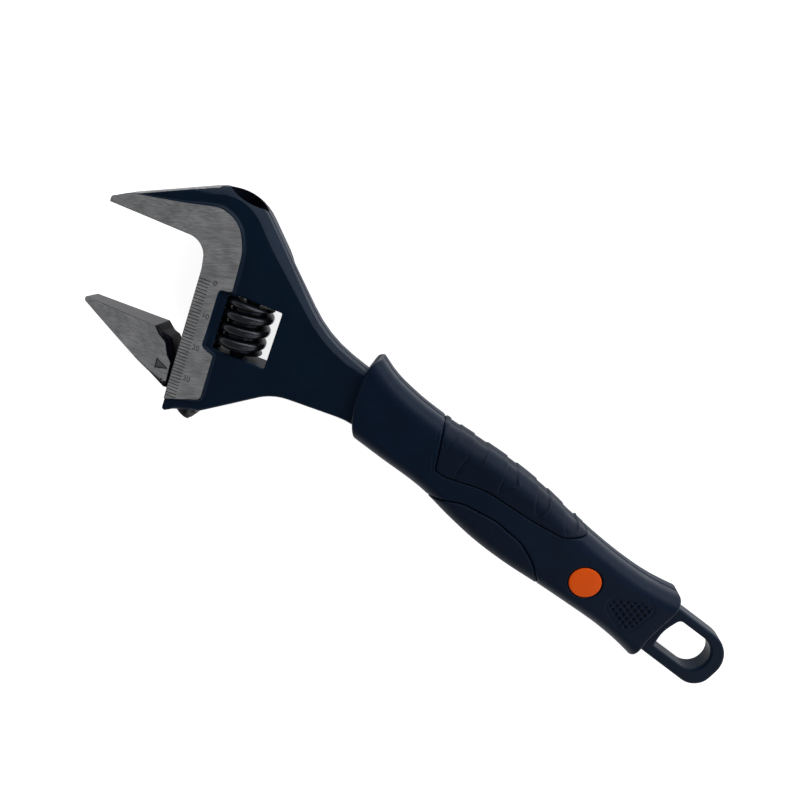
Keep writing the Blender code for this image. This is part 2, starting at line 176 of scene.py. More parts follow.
def along(stations, values):
    # one value per outline point, from (station, value) pairs
    places, amounts = zip(*values)
    return np.interp(stations, places, amounts)


def roundOver(radius, half, flat=0.6, steps=6):
    # inset and height from the flat face round an edge, then the side down to the middle
    made = [(radius + flat, half + 0 * radius)]
    for step in range(steps + 1):
        angle = pi / 2 * step / steps
        made.append((radius * (1 - sin(angle)), half - radius * (1 - cos(angle))))
    return made


def bevel(size, half, flat=0.6, steps=6):
    # the same for a straight chamfer
    return [(size + flat, half + 0 * size)] + [
        (size * (1 - step / steps), half - size * step / steps) for step in range(steps + 1)]


def blendRings(half, *parts):
    # (inset, height) rings mixed from parts (share, rings) whose heights go down from the face
    return [(sum(share * rings[k][0] for share, rings in parts),
             half - sum(share * rings[k][1] for share, rings in parts))
            for k in range(len(parts[0][1]))]


def shellRings(corners, profileOf, spacing=2.0, reach=1.0, stepAngle=7, backProfileOf=None):
    # profileOf(stations) gives (inset, height) for each ring on the front; the back mirrors it
    (base, inner), stations = outlineRings(corners, (0, -reach), spacing, stepAngle)

    def rings(profile, side):
        made = []
        for inset, height in profile:
            part = (np.zeros(len(base)) + inset)[:, None] / reach
            flat = base + (inner - base) * part
            made.append(np.column_stack((flat, np.zeros(len(base)) + side * height)))
        return made

    front = rings(profileOf(stations), 1)
    back = rings((backProfileOf or profileOf)(stations), -1)
    return front + back[::-1]


def joinRings(shape, rings, capped=False):
    # quads between neighbouring rings, and a flat cap on each end if wanted
    for near, far in zip(rings, rings[1:]):
        for k in range(len(near)):
            shape.faces.new((near[k], near[k - 1], far[k - 1], far[k]))
    if capped:
        shape.faces.new(rings[0])
        shape.faces.new(rings[-1])


def solid(name, shells, finish=None):
    # closed form from an outer shell of rings and one shell for each hole
    shape = bmesh.new()
    loops = [[[shape.verts.new(point) for point in toWorld(ring)] for ring in rings]
             for rings in shells]
    for rings in loops:
        joinRings(shape, rings)
    for end in (0, -1):
        rims = [rings[end] for rings in loops]
        corners = [vert for rim in rims for vert in rim]
        flat = [[Vector((vert.co.x, vert.co.y, 0)) for vert in rim] for rim in rims]
        for triangle in tessellate_polygon(flat):
            shape.faces.new([corners[k] for k in triangle])
    return fromShape(name, shape, finish)


def thinToTips(thing, half, limit, slack=0.0):
    # Scales the thickness out along the jaws so that no face is above limit less the taper.
    start = taperStart + max(0.0, (limit - slack - half) / taper)
    edge = headPoint(-start, 0)
    shape = bmesh.new()
    shape.from_mesh(thing.data)
    bmesh.ops.bisect_plane(shape, geom=shape.verts[:] + shape.edges[:] + shape.faces[:],
                           plane_co=Vector(toWorld((*edge, 0))),
                           plane_no=(cos(headAngle), sin(headAngle), 0))
    for vert in shape.verts:
        x, y, z = (vert.co - origin) * 1000
        depth = headCoords(x, y)[0]
        top = half - max(0.0, -depth - start) * taper
        vert.co.z = origin.z + z * top / half / 1000
    shape.to_mesh(thing.data)
    shape.free()


def turnedPoint(depth, drop, radius, angle):
    # a point at an angle round a line along the jaw's travel
    return toWorld((*headPoint(depth + radius * cos(angle), drop), radius * sin(angle)))


def lathe(name, profile, depth, finish=None, sides=64):
    # turns (radius, drop) pairs about a line along the jaw's travel, depth behind the throat
    shape = bmesh.new()
    joinRings(shape, [[shape.verts.new(turnedPoint(depth, drop, radius, 2 * pi * k / sides))
                       for k in range(sides)] for radius, drop in profile], capped=True)
    return fromShape(name, shape, finish)


def headBlock(name, depths, drops, halfHeight):
    # a block along the head's own directions
    (near, far), (top, low) = depths, drops
    return slab(name, headCorners([(near, top, 0), (far, top, 0), (far, low, 0), (near, low, 0)]),
                halfHeight)


def slab(name, corners, halfHeight, finish=None, middle=0.0):
    ring = roundedOutline(corners, spacing=500)
    levels = [np.column_stack((ring, np.full(len(ring), middle + side * halfHeight)))
              for side in (1, -1)]
    return solid(name, [levels], finish)


def cut(thing, tools, operation="DIFFERENCE"):
    # each tool's shape is taken away from, or joined to, the mesh for good
    for tool in tools:
        step = thing.modifiers.new("cut", "BOOLEAN")
        step.operation = operation
        step.solver = "EXACT"
        step.object = tool
        if tool.data.materials:
            step.material_mode = "TRANSFER"
    view = bpy.context.evaluated_depsgraph_get()
    mesh = bpy.data.meshes.new_from_object(thing.evaluated_get(view))
    thing.modifiers.clear()
    thing.data = mesh
    for tool in tools:
        bpy.data.objects.remove(tool)


def dress(thing, body, replaced=(), sharpAngle=30, weighted=True):
    # smooth shading, the body it rides on, and hiding the parts it stands in for
    thing.data.shade_smooth()
    thing.data.set_sharp_from_angle(angle=radians(sharpAngle))
    if weighted:
        step = thing.modifiers.new("even normals", "WEIGHTED_NORMAL")
        step.keep_sharp = True
    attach(thing, body)
    if replaced:
        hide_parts(*replaced)
    return thing


def paint(thing, name, amountOf):
    # a value per point, worked out from its place in mm, or one for all
    mesh = thing.data
    places = np.zeros(len(mesh.vertices) * 3)
    mesh.vertices.foreach_get("co", places)
    x, y, z = ((places.reshape(-1, 3) - np.array(origin)) * 1000).T
    amount = amountOf(x, y, z) if callable(amountOf) else np.full(x.shape, amountOf)
    layer = mesh.attributes.new(name, "FLOAT", "POINT")
    layer.data.foreach_set("value", amount.astype(np.float32))


def lineDistance(x, y, line):
    # distance to an open line
    best = np.full(x.shape, 1e9)
    for (ax, ay), (bx, by) in zip(line, line[1:]):
        wayX, wayY = bx - ax, by - ay
        length = max(wayX ** 2 + wayY ** 2, 1e-12)
        part = np.clip(((x - ax) * wayX + (y - ay) * wayY) / length, 0, 1)
        best = np.minimum(best, np.hypot(x - ax - part * wayX, y - ay - part * wayY))
    return best


def outlineDistance(x, y, outline):
    # distance to a closed outline, negative inside
    outline = [*outline, outline[0]]
    inside = np.zeros(x.shape, bool)
    for (ax, ay), (bx, by) in zip(outline, outline[1:]):
        if ay != by:
            inside ^= ((ay > y) != (by > y)) & (x < (bx - ax) * (y - ay) / (by - ay) + ax)
    distance = lineDistance(x, y, outline)
    return np.where(inside, -distance, distance)


# Finishes

class Value:
    # a socket that Python's arithmetic adds Math nodes to
    def __init__(self, maker, socket):
        self.maker = maker
        self.socket = socket

    def math(self, operation, *others):
        return self.maker.math(operation, self, *others)

    def __add__(self, other):
        return self.math("ADD", other)

    def __sub__(self, other):
        return self.math("SUBTRACT", other)

    def __rsub__(self, other):
        return self.maker.math("SUBTRACT", other, self)

    def __mul__(self, other):
        return self.math("MULTIPLY", other)

    __radd__ = __add__
    __rmul__ = __mul__


class Maker:
    # makes the nodes of one node tree
    def __init__(self, tree):
        self.tree = tree

    def feed(self, socket, value):
        if isinstance(value, Value):
            self.tree.links.new(value.socket, socket)
        elif socket.type == "RGBA":
            socket.default_value = (*value, 1)
        else:
            socket.default_value = value

    def node(self, kind, settings=None, inputs=None, output=0):
        made = self.tree.nodes.new(kind)
        for name, value in (settings or {}).items():
            setattr(made, name, value)
        for name, value in (inputs or {}).items():
            self.feed(made.inputs[name], value)
        return Value(self, made.outputs[output])

    def math(self, operation, *values):
        return self.node("ShaderNodeMath", {"operation": operation}, dict(enumerate(values)))

    def vectorMath(self, operation, first, second=None, scale=None):
        inputs = {0: first}
        if second is not None:
            inputs[1] = second
        if scale is not None:
            inputs["Scale"] = scale
        return self.node("ShaderNodeVectorMath", {"operation": operation}, inputs)

    def mix(self, factor, first, second):
        return self.node("ShaderNodeMix", {"data_type": "RGBA"}, {0: factor, 6: first, 7: second},
                         output=2)

    def ramp(self, value, low, high):
        # 0 to 1 as value goes from low to high
        return self.node("ShaderNodeMapRange", {"interpolation_type": "SMOOTHSTEP"},
                         {"Value": value, "From Min": low, "From Max": high})


class Finish(Maker):
    # a material with one Principled shader; fixed holds the shader values that don't vary
    def __init__(self, name, fixed=None):
        self.material = bpy.data.materials.new(name)
        self.material.use_nodes = True
        super().__init__(self.material.node_tree)
        self.shader = self.tree.nodes["Principled BSDF"]
        for socket, value in (fixed or {}).items():
            self.feed(self.shader.inputs[socket], value)
        self.place = self.vectorMath("SCALE", self.node("ShaderNodeTexCoord", output="Object"),
                                     scale=1000)

    def noise(self, scale, detail=2, rough=0.5, place=None):
        return self.node("ShaderNodeTexNoise", {}, {
            "Vector": place or self.place, "Scale": scale, "Detail": detail, "Roughness": rough})

    def streaks(self, angle, fine, long, detail=3):
        # noise drawn out along one direction in the face
        turned = self.node("ShaderNodeVectorRotate", {"rotation_type": "Z_AXIS"},
                           {"Vector": self.place, "Angle": -radians(angle)})
        drawn = self.vectorMath("MULTIPLY", turned, (long, fine, fine))
        return self.noise(1.0, detail, 0.6, drawn)

    def attribute(self, name):
        return self.node("ShaderNodeAttribute", {"attribute_name": name}, output="Fac")

    def bump(self, height, distance, strength=1.0, under=None):
        inputs = {"Height": height, "Distance": distance / 1000, "Strength": strength}
        if under:
            inputs["Normal"] = under
        return self.node("ShaderNodeBump", {}, inputs)

    def surface(self, **inputs):
        names = {"colour": "Base Color", "roughness": "Roughness", "metallic": "Metallic",
                 "normal": "Normal"}
        for name, value in inputs.items():
            self.feed(self.shader.inputs[names[name]], value)
        return self.material


steelLook = {
    "coat": ((0.0010, 0.0085, 0.0235), (0.0020, 0.0115, 0.0300)),
    "scoop": ((0.0006, 0.0008, 0.0030), (0.0020, 0.0024, 0.0070)),
    "coatRoughness": 0.42,
    "gloss": {"coat": 0.12, "scoop": 0.04},
    "bare": (0.66, 0.665, 0.68),
    "bareDark": (0.27, 0.275, 0.285),
    "scratch": (0.85, 0.85, 0.87),
    "bareRoughness": 0.38,
    "wall": (0.06, 0.06, 0.065),    # jaw sides: ground steel with painted shade, their colour darkened so they stay dim under the lights
    "ragged": 0.55,                 # how far the coating's edge wanders
}


def brushedParts(finish, angle):
    # colour, roughness and height of ground steel with scratches at an angle in the face
    fine = finish.streaks(angle, 6.0, 0.16)
    crossed = finish.streaks(angle - 20, 4.5, 0.20)
    deep = finish.ramp(finish.streaks(angle - 8, 4.0, 0.14, 4), 0.60, 0.70)
    patches = finish.noise(0.22, 3)
    lines = fine * 0.6 + crossed * 0.4
    shade = finish.ramp(lines * 0.75 + patches * 0.25, 0.34, 0.66)
    colour = finish.mix(shade, steelLook["bareDark"], steelLook["bare"])
    colour = finish.mix(deep * 0.5, colour, steelLook["scratch"])
    roughness = steelLook["bareRoughness"] - 0.05 + lines * 0.18 + deep * 0.08
    return colour, roughness, lines - deep * 0.5


def coatedFinish(name, angle, coats="coat"):
    # dark coating on the forging, worn or ground to bare steel where the attribute says
    finish = Finish(name, {"Specular IOR Level": steelLook["gloss"][coats]})
    peel = finish.noise(1.6, 2)
    grain = finish.noise(7.0, 2)
    clouds = finish.noise(0.09, 3)
    coat = finish.mix(finish.ramp(clouds * 0.7 + grain * 0.3, 0.35, 0.65), *steelLook[coats])
    bareColour, bareRoughness, bareHeight = brushedParts(finish, angle)
    # the attribute "wall" darkens bare steel towards the side colour, a painted shade
    wall = finish.attribute("wall")
    bareColour = finish.mix(wall * 0.9, bareColour, steelLook["wall"])
    wander = (finish.noise(2.2, 3) - 0.5) * steelLook["ragged"] * (1 - wall * 0.9)
    mask = finish.ramp(finish.attribute("bare") + wander, 0.46, 0.54)
    coatRoughness = steelLook["coatRoughness"] - 0.04 + grain * 0.1
    height = (peel * 0.7 + grain * 0.3) * (1 - mask) + bareHeight * mask * 0.35
    return finish.surface(
        colour=finish.mix(mask, coat, bareColour), metallic=mask * 0.94,
        roughness=coatRoughness * (1 - mask) + (bareRoughness + wall * 0.12) * mask,
        normal=finish.bump(height, 0.035))


def recessFinish(name, angle):
    # the floor of engraved marks, darkened towards the sides' painted shade colour
    finish = Finish(name)
    colour, roughness, height = brushedParts(finish, angle)
    colour = finish.mix(0.7, colour, steelLook["wall"])
    return finish.surface(colour=colour, roughness=roughness, metallic=0.94,
                          normal=finish.bump(height, 0.012))


metalLook = {                       # dark and light colour, roughness, has polished places
    "blackened worm steel": ((0.006, 0.007, 0.013), (0.050, 0.052, 0.060), 0.3, True),
    # the rail's light colour is raised so that its worn tooth tips carry a painted glint
    "blackened rail steel": ((0.010, 0.010, 0.014), (0.11, 0.11, 0.12), 0.28, True),
    "blackened screw steel": ((0.03, 0.03, 0.035), (0.12, 0.12, 0.13), 0.34, False),
    "drawn wire": ((0.25, 0.25, 0.26), (0.45, 0.45, 0.46), 0.25, False),
}
plasticLook = {                     # dark and light colour, roughness, size and depth of the grain
    "engraved line fill": ((0.012, 0.012, 0.012), (0.025, 0.025, 0.024), 0.6, 6, 0.01),
    "hard grip plastic": ((0.0006, 0.0072, 0.0230), (0.0016, 0.0100, 0.0290), 0.42, 5.0, 0.02),
    "soft grip rubber": ((0.0010, 0.0070, 0.0210), (0.0024, 0.0098, 0.0265), 0.5, 3.5, 0.03),
    "orange badge plastic": ((0.93, 0.100, 0.003), (1.0, 0.125, 0.005), 0.42, 4.0, 0.012),
}


def plainSteel(name, dark, light, roughness, polished):
    # blackened or bare steel; the attribute "worn" marks where use has polished it, drawn towards
    # the light colour, which on the rail's tooth tips is also a painted glint
    finish = Finish(name)
    grain = finish.noise(5.0, 3)
    smears = finish.noise(0.8, 3)
    shade = finish.ramp(grain * 0.4 + smears * 0.6, 0.35, 0.65)
    colour = finish.mix(shade * 0.5, dark, light)
    rough = roughness - 0.06 + grain * 0.14
    if polished:
        worn = finish.ramp(finish.attribute("worn") + (smears - 0.5) * 0.5, 0.35, 0.95)
        colour = finish.mix(worn * 0.6, colour, light)
        rough = rough - worn * 0.08
    return finish.surface(colour=colour, roughness=rough, metallic=0.85,
                          normal=finish.bump(grain, 0.02))


def plasticFinish(name, dark, light, roughness, grainSize, grainDepth):
    # moulded plastic with the fine spark texture of its mould
    finish = Finish(name, {"Specular IOR Level": 0.13})
    spark = finish.noise(grainSize, 3, 0.7)
    clouds = finish.noise(0.12, 3)
    handled = finish.ramp(finish.noise(0.35, 4), 0.45, 0.7)
    colour = finish.mix(finish.ramp(clouds * 0.6 + spark * 0.4, 0.35, 0.65), dark, light)
    return finish.surface(colour=colour, roughness=roughness + spark * 0.1 - handled * 0.05,
                          metallic=0.0, normal=finish.bump(spark, grainDepth))


coatedSteel = coatedFinish("blue black coating", 20)
groundHead = coatedFinish("ground head face", 38)
groundJaw = coatedFinish("ground jaw face", 19, "scoop")
scoopSteel = coatedFinish("jaw root coating", 8, "scoop")
recessSteel = recessFinish("engraved recess", 60)
wormSteel, railSteel, pinSteel, springSteel = (
    plainSteel(name, *look) for name, look in metalLook.items())
markFill, gripHard, gripSoft, badgeOrange = (
    plasticFinish(name, *look) for name, look in plasticLook.items())
print("finishes made:", len(bpy.data.materials))


# Forging: fixed jaw, head and neck

forgingLook = {
    "half": 4.7,
    "draft": 0.22,                  # how far the side walls lean in from the parting line
    "seam": 0.06,                   # height of the trimmed parting line
    "edge": [(0, .15), (0.9, .25), (1.2, .6), (2, 1), (2.75, 1.1), (2.96, 2.3), (3.3, 2.5),
             (4, 1.5), (5, .9),
             (8.6, .9), (9.0, 1.1), (9.1, 1.6), (9.95, 1.6), (10, .15), (13, .15)],
    "bevelled": [(0, 0), (2.7, 0), (2.96, 1), (4.0, 1), (4.6, .3), (8, 0), (13, 0)],
    "backEdge": [(0, 9), (2.2, 9), (2.8, .35), (3.4, .35), (3.8, 9), (13, 9)],   # full at the bore
    "windowEdge": 0.38,
    "mouth": [(3.9, -11.5), (5.6, -12.9), (6.3, -14.4), (6.7, -17.0), (6.9, -40.0)],
    "mouthFlat": (0.68, 0.52),      # the bore mouth's height against its width, front and back
    "wormRoom": 7.6,                # radius of the hollow that the worm turns in
    "railBore": [(4.0, -40), (4.0, 64)],
    "pinHole": [(2.15, 5.7), (2.15, 41)],
    "pinSeat": [(3.2, 39.9), (3.2, 64)],
    "webSlot": ((-10, railDepth), (7.5, 64), 2.0),
    "bevelShare": 0.85,
    "straight": (1.1, 9.97),        # the throat's walls, outside these stations, have no draft
    "edgeWear": 0.40,
    "bareRim": (-0.95, -0.5),       # the jaw's outer wall is bare from this deep in the outline
    "bareEnd": (-199.0, -201.0),    # and from here to the tip
    "wallShade": 0.5,
    "groundHalf": 5.5,
    "softRings": [(1.25, 0), (0.85, 0), (0.66, .03), (0.45, .12), (0.24, .32), (0.06, .56),
                  (-0.16, .74), (-0.5, .83), (-0.7, 1.3)],      # inset, height below the face
    "crispRings": [(0.6, 0), (0.24, 0), (0.12, .03), (0.04, .10), (0, .22), (0, .5), (0, .7),
                   (0, .9), (0, 1.3)],
    "groundSoft": [(0, 0), (2, 0), (2.4, .5), (3, 1), (8, 1), (8.2, .5), (9.8, .5), (10, .7),
                   (12.2, .7), (12.6, .3), (13, .15), (13.05, 0), (16, 0)],
}
clearance = 0.08                    # the coated forging stays this far behind the ground faces
headOutline = [
    *headCorners([(0.1 - jawReach, -clearance, 0.5)]), (-224.6, 1.8, 1.4), (-220.0, 6.6, 15),
    (-193.6, 29.5, 15), (-152.6, 6.6, 38), (-126, 5.6, 0), (-126, -9.4, 0), (-133.5, -9.8, 20),
    (-155, -16.9, 16), (-169.9, -35.5, 0.9),
    *headCorners([(clearance, 53.0, 0.8), (clearance, 7.8, 12),
                  (clearance - 1.1, -clearance, 5.5)])]
groundOutline = [
    *headCorners([(0.2 - jawReach, 0, 0.3)]), (-224.3, 1.9, 1.3), (-220.0, 6.3, 8),
    (-206.4, 14.1, 30), (-196.8, 19.6, 7), (-189.8, 19.7, 9), (-184.4, 13.2, 14),
    (-182.4, 7.5, 30),
    *headCorners([(11.1, 11.4, 0.4), (7.0, 11.9, 0.8), (7.0, 29.0, 1.2), (11.0, 30.3, 1.2),
                  (11.2, 45.5, 2.5), (0, 49.1, 0.3), (0, 7.8, 12), (-1.1, 0, 5.5)])]
window = {"front": 9.3, "back": 25.6, "top": 11.4, "bottom": 28.9, "corner": 0.5}


def headTools():
    # the bores and slots that both the forging and its ground faces have
    return [
        lathe("rail bore", forgingLook["railBore"], railDepth, scoopSteel),
        headBlock("web slot", *forgingLook["webSlot"])]


def makeForging():
    look = forgingLook
    half = look["half"]

    def backProfile(stations):
        return profile(stations, along(stations, look["backEdge"]))

    def profile(stations, limit=9.0):
        radius = np.minimum(along(stations, look["edge"]), limit)
        share = along(stations, look["bevelled"]) * look["bevelShare"]
        first, last = look["straight"]
        lean = np.where((stations < first) | (stations > last), 0, look["draft"])
        made = [(a[0] * (1 - share) + b[0] * share + lean, a[1] * (1 - share) + b[1] * share)
                for a, b in zip(roundOver(radius, half), bevel(radius, half))]
        return made + [(lean * 0.35, 0.9), (lean * 0.30, 0.42),
                       (-look["seam"] * (lean > 0), 0.30)]

    holeCorners = headCorners([(window[side], window[level], window["corner"]) for side, level in (
        ("front", "top"), ("back", "top"), ("back", "bottom"), ("front", "bottom"))])

    def holeProfile(stations):
        return [(-inset, height) for inset, height in roundOver(look["windowEdge"], half, 0.35)]

    forging = solid("forging", [shellRings(headOutline, profile, reach=3.0,
                                           backProfileOf=backProfile),
                                shellRings(holeCorners, holeProfile, spacing=1.5)], coatedSteel)
    thinToTips(forging, half, look["groundHalf"], slack=0.35)
    mouth = lathe("bore mouth", look["mouth"], railDepth, scoopSteel, sides=96)
    for vert in mouth.data.vertices:
        height = vert.co.z - origin.z
        vert.co.z = origin.z + height * look["mouthFlat"][0 if height > 0 else 1]
    room = look["wormRoom"]
    cut(forging, [
        *headTools(), mouth,
        lathe("worm clearance", [(room, window["top"]), (room, window["bottom"])], wormDepth,
              sides=96),
        lathe("pin hole", look["pinHole"], wormDepth),
        lathe("pin seat", look["pinSeat"], wormDepth)])

    def bareness(x, y, z):
        depth, drop = headCoords(x, y)
        edge = outlineDistance(x, y, roundedOutline(headOutline))
        worn = look["edgeWear"] * smoothStep(-1.2, -0.1, edge) * smoothStep(3.2, 4.2, np.abs(z))
        side = smoothStep(*look["bareRim"], edge) * smoothStep(*look["bareEnd"], x) * (drop < 0)
        tip = smoothStep(-23.0, -26.5, depth)
        return np.maximum(worn, np.maximum(tip, side))

    paint(forging, "bare", bareness)
    # painted shade: the jaw tip darkened halfway towards the side colour
    paint(forging, "wall", lambda x, y, z: look["wallShade"] * (x < -199.5))
    dress(forging, "wrench_body", ["body"])


def onJawFace(x, y, z, half):
    # true on the front and back faces, which come closer together towards the jaws' tips
    thinning = np.maximum(0, -headCoords(x, y)[0] - taperStart) * taper
    return np.abs(z) > np.minimum(half, forgingLook["groundHalf"] - thinning) - 0.02


def makeGroundFaces():
    look = forgingLook
    half = look["groundHalf"]

    def profile(stations):
        soft = along(stations, look["groundSoft"])
        return blendRings(half, (soft, look["softRings"]), (1 - soft, look["crispRings"]))

    faces = solid("groundFaces", [shellRings(groundOutline, profile)], groundHead)
    thinToTips(faces, half, half)
    cut(faces, headTools())
    cut(faces, scaleMarks())

    def bareness(x, y, z):
        depth, drop = headCoords(x, y)
        wall = ((depth < 0.6) & (drop > -0.6)) | (depth < -24)
        return np.where(onJawFace(x, y, z, half) | wall, 1.0, 0.0)

    paint(faces, "bare", bareness)
    # painted shade on all but the front and back faces
    paint(faces, "wall", lambda x, y, z: 1.0 * ~onJawFace(x, y, z, half))
    dress(faces, "wrench_body")


scaleLook = {
    "first": 10.4,                  # drop of the zero line
    "count": 38,
    "start": 0.15,
    "length": 3.3,
    "slant": 1,                     # degrees from the throat's normal
    "width": 0.52,
    "deep": 0.22,
    "numeralSize": 2.3,
    "numeralDepth": 5.0,
    "numeralSunk": 0.3,             # half the height of the solid numerals
}


def scaleMarks():
    # cutters for the millimetre lines and the numerals, standing in the front face
    look = scaleLook
    shape = bmesh.new()
    top = forgingLook["groundHalf"]
    slope = radians(look["slant"])
    for k in range(look["count"]):
        upper, floor = [], []
        for reach, sides in ((look["start"], (-1, 1)), (look["start"] + look["length"], (1, -1))):
            depth, drop = reach * cos(slope), look["first"] + k - reach * sin(slope)
            for side in sides:
                place = headPoint(depth, drop + side * look["width"] / 2)
                upper.append(shape.verts.new(toWorld((*place, top + 0.3))))
            floor.append(shape.verts.new(toWorld((*headPoint(depth, drop), top - look["deep"]))))
        a, b, c, d = upper
        near, far = floor
        for corners in ((a, b, c, d), (a, b, near), (c, d, far), (b, c, far, near),
                        (d, a, near, far)):
            shape.faces.new(corners)
    return [fromShape("scale lines", shape, markFill),
            *(numeral(str(k), look["first"] + k) for k in range(0, look["count"], 10))]


def numeral(words, drop):
    # a plain scale numeral as a solid that reaches into the face
    look = scaleLook
    sunk = look["numeralSunk"] / 1000
    letters = bpy.data.curves.new("numeral", "FONT")
    letters.body = words
    letters.size = look["numeralSize"] / 1000
    letters.align_x = "CENTER"
    letters.align_y = "CENTER"
    letters.extrude = sunk
    letters.resolution_u = 3
    drawn = newObject("numeral", letters)
    view = bpy.context.evaluated_depsgraph_get()
    mesh = bpy.data.meshes.new_from_object(drawn.evaluated_get(view))
    bpy.data.objects.remove(drawn)
    place = toWorld((*headPoint(look["numeralDepth"], drop), 0))
    lift = (forgingLook["groundHalf"] - look["deep"]) / 1000 + sunk
    mesh.transform(Matrix.Translation(Vector(place) + Vector((0, 0, lift)))
                   @ Matrix.Rotation(headAngle, 4, "Z"))
    shape = bmesh.new()
    shape.from_mesh(mesh)
    return fromShape("numeral", shape, recessSteel)


makeForging()
makeGroundFaces()
print("head made")


# The shank with its hang loop

loopLook = {"half": 3.0, "edge": 0.95, "holeEdge": 0.8, "flat": 0.15, "wear": 0.26}
shankOutline = [
    (-132, 5.0, 0), (-27, 5.0, 3), (-24, 6.0, 3), (6.1, 6.0, 9.4), (6.1, -12.3, 6.0),
    (-24, -12.1, 3), (-28, -8.6, 3), (-132, -8.6, 0)]
hangHole = [(-14.4, 3.1, 1.6), (1.3, 3.1, 6.4), (1.3, -8.6, 5.0), (-14.6, -8.6, .8),
            (-15.8, -3.0, 12)]


def makeHangLoop():
    look = loopLook
    outside = roundOver(look["edge"], look["half"], look["flat"])
    inside = [(-inset, height)
              for inset, height in roundOver(look["holeEdge"], look["half"], look["flat"])]
    loop = solid("hangLoop", [shellRings(shankOutline, lambda stations: outside),
                              shellRings(hangHole, lambda stations: inside)], coatedSteel)
    paint(loop, "bare", look["wear"])
    dress(loop, "wrench_body")


makeHangLoop()


# Movable jaw

jawLook = {
    "half": 5.3, "rootHalf": 4.4, "arrowLine": 0.27, "arrowDeep": 0.18,
    "soft": [(0, 0), (1, 0), (1.3, .6), (4.8, .6), (5, .2), (6, .2), (6.1, .5), (7, .4),
             (7.4, 0), (9, 0)],
    "bevel": [(0, 0), (5.95, 0), (6.0, 1.3), (7.0, 0), (9, 0)],
    "softRings": [(1.0, 0), (0.6, 0), (0.42, .04), (0.25, .14), (0.1, .32), (0, .6), (0, 1.0)],
    "crispRings": [(0.6, 0), (0.2, 0), (0.1, .03), (0.03, .1), (0, .2), (0, .5), (0, 1.0)],
    "bevelRings": [(1, 0), (1, 0), (.9, .1), (.6, .35), (.25, .8), (0, 1), (0, 1)],
    "rootEdge": [(0, .2), (0.9, .3), (1.2, 1.3), (3.6, 1.5), (4, .7), (4.8, .5), (5, .45),
                 (6, .3), (6.3, .2), (8, .2)],
}
jawOutline = headCorners([
    (-jawReach, 28.7, .5), (-8.3, 28.7, .3), (-6.2, 30.5, 1.2), (-3.9, 32.0, 1.8),
    (-2.3, 35.6, 2.0), (-0.8, 37.6, .5), (-0.45, 46.3, .3), (-11.0, 40.8, 4),
    (-jawReach, 30.1, .8)])
rootOutline = headCorners([
    (-20, 30.2, .3), (-7.9, 28.85, .5), (-6.6, 30.1, .8), (-3.4, 30.7, 2), (-.45, 36.2, 1.5),
    (-.45, 46.5, .8), (-8.5, 42.1, 1), (-20, 34, .5)])
arrowOutline = headCorners([(-1.1, 39.7, .15), (-5.3, 37.6, .15), (-5.2, 40.9, .15)])


def makeMovableJaw():
    look = jawLook
    half = look["half"]

    def profile(stations):
        soft = along(stations, look["soft"])
        return blendRings(half, (soft, look["softRings"]), (1 - soft, look["crispRings"]),
                          (along(stations, look["bevel"]), look["bevelRings"]))

    jaw = solid("movableJaw", [shellRings(jawOutline, profile)], groundJaw)
    thinToTips(jaw, half, forgingLook["groundHalf"])
    rims = outlineRings(arrowOutline, (0, -look["arrowLine"]), spacing=500)[0]
    levels = [[np.column_stack((rim, np.full(len(rim), half + height)))
               for height in (-look["arrowDeep"], 0.3)] for rim in rims]
    cut(jaw, [slab("arrow floor", arrowOutline, 0.3, recessSteel, half + 0.25),
              solid("arrow", levels, markFill)])

    def bareness(x, y, z):
        depth, drop = headCoords(x, y)
        scoop = (depth > -8.35) & (drop < 44) & (drop > 28)
        strip = (depth > -12) & (drop > 34)
        return np.where(~onJawFace(x, y, z, half) & (scoop | strip), 0.0, 1.0)

    paint(jaw, "bare", bareness)
    # painted shade on all but the front and back faces
    paint(jaw, "wall", lambda x, y, z: 1.0 * ~onJawFace(x, y, z, half))
    dress(jaw, "lower_jaw", ["movable_jaw"])

    root = solid("jawRoot", [shellRings(rootOutline, lambda stations: roundOver(
        along(stations, look["rootEdge"]), look["rootHalf"]), reach=2.0)], scoopSteel)
    thinToTips(root, look["rootHalf"], half, slack=0.3)
    paint(root, "bare", 0)
    dress(root, "lower_jaw")


railLook = {
    "radius": 3.7, "top": 7.0, "end": 53.4, "chamfer": 0.5, "webHalf": 1.7, "webTop": 36.4,
    "webEnd": 46.2, "pitch": 4.0, "firstGroove": 9.8, "grooves": 12, "floor": 8.1,
    "floorHalf": 0.95, "mouthHalf": 1.75, "softened": 0.14,
    "meshRadius": 6.35,             # on the worm, where its slant is the grooves' slant
    "nose": [(12, 50.2, 0), (10.0, 50.9, 0), (8.2, 53.3, 0.3), (1, 50.2, 0), (1, 60, 0),
             (12, 60, 0)],
}


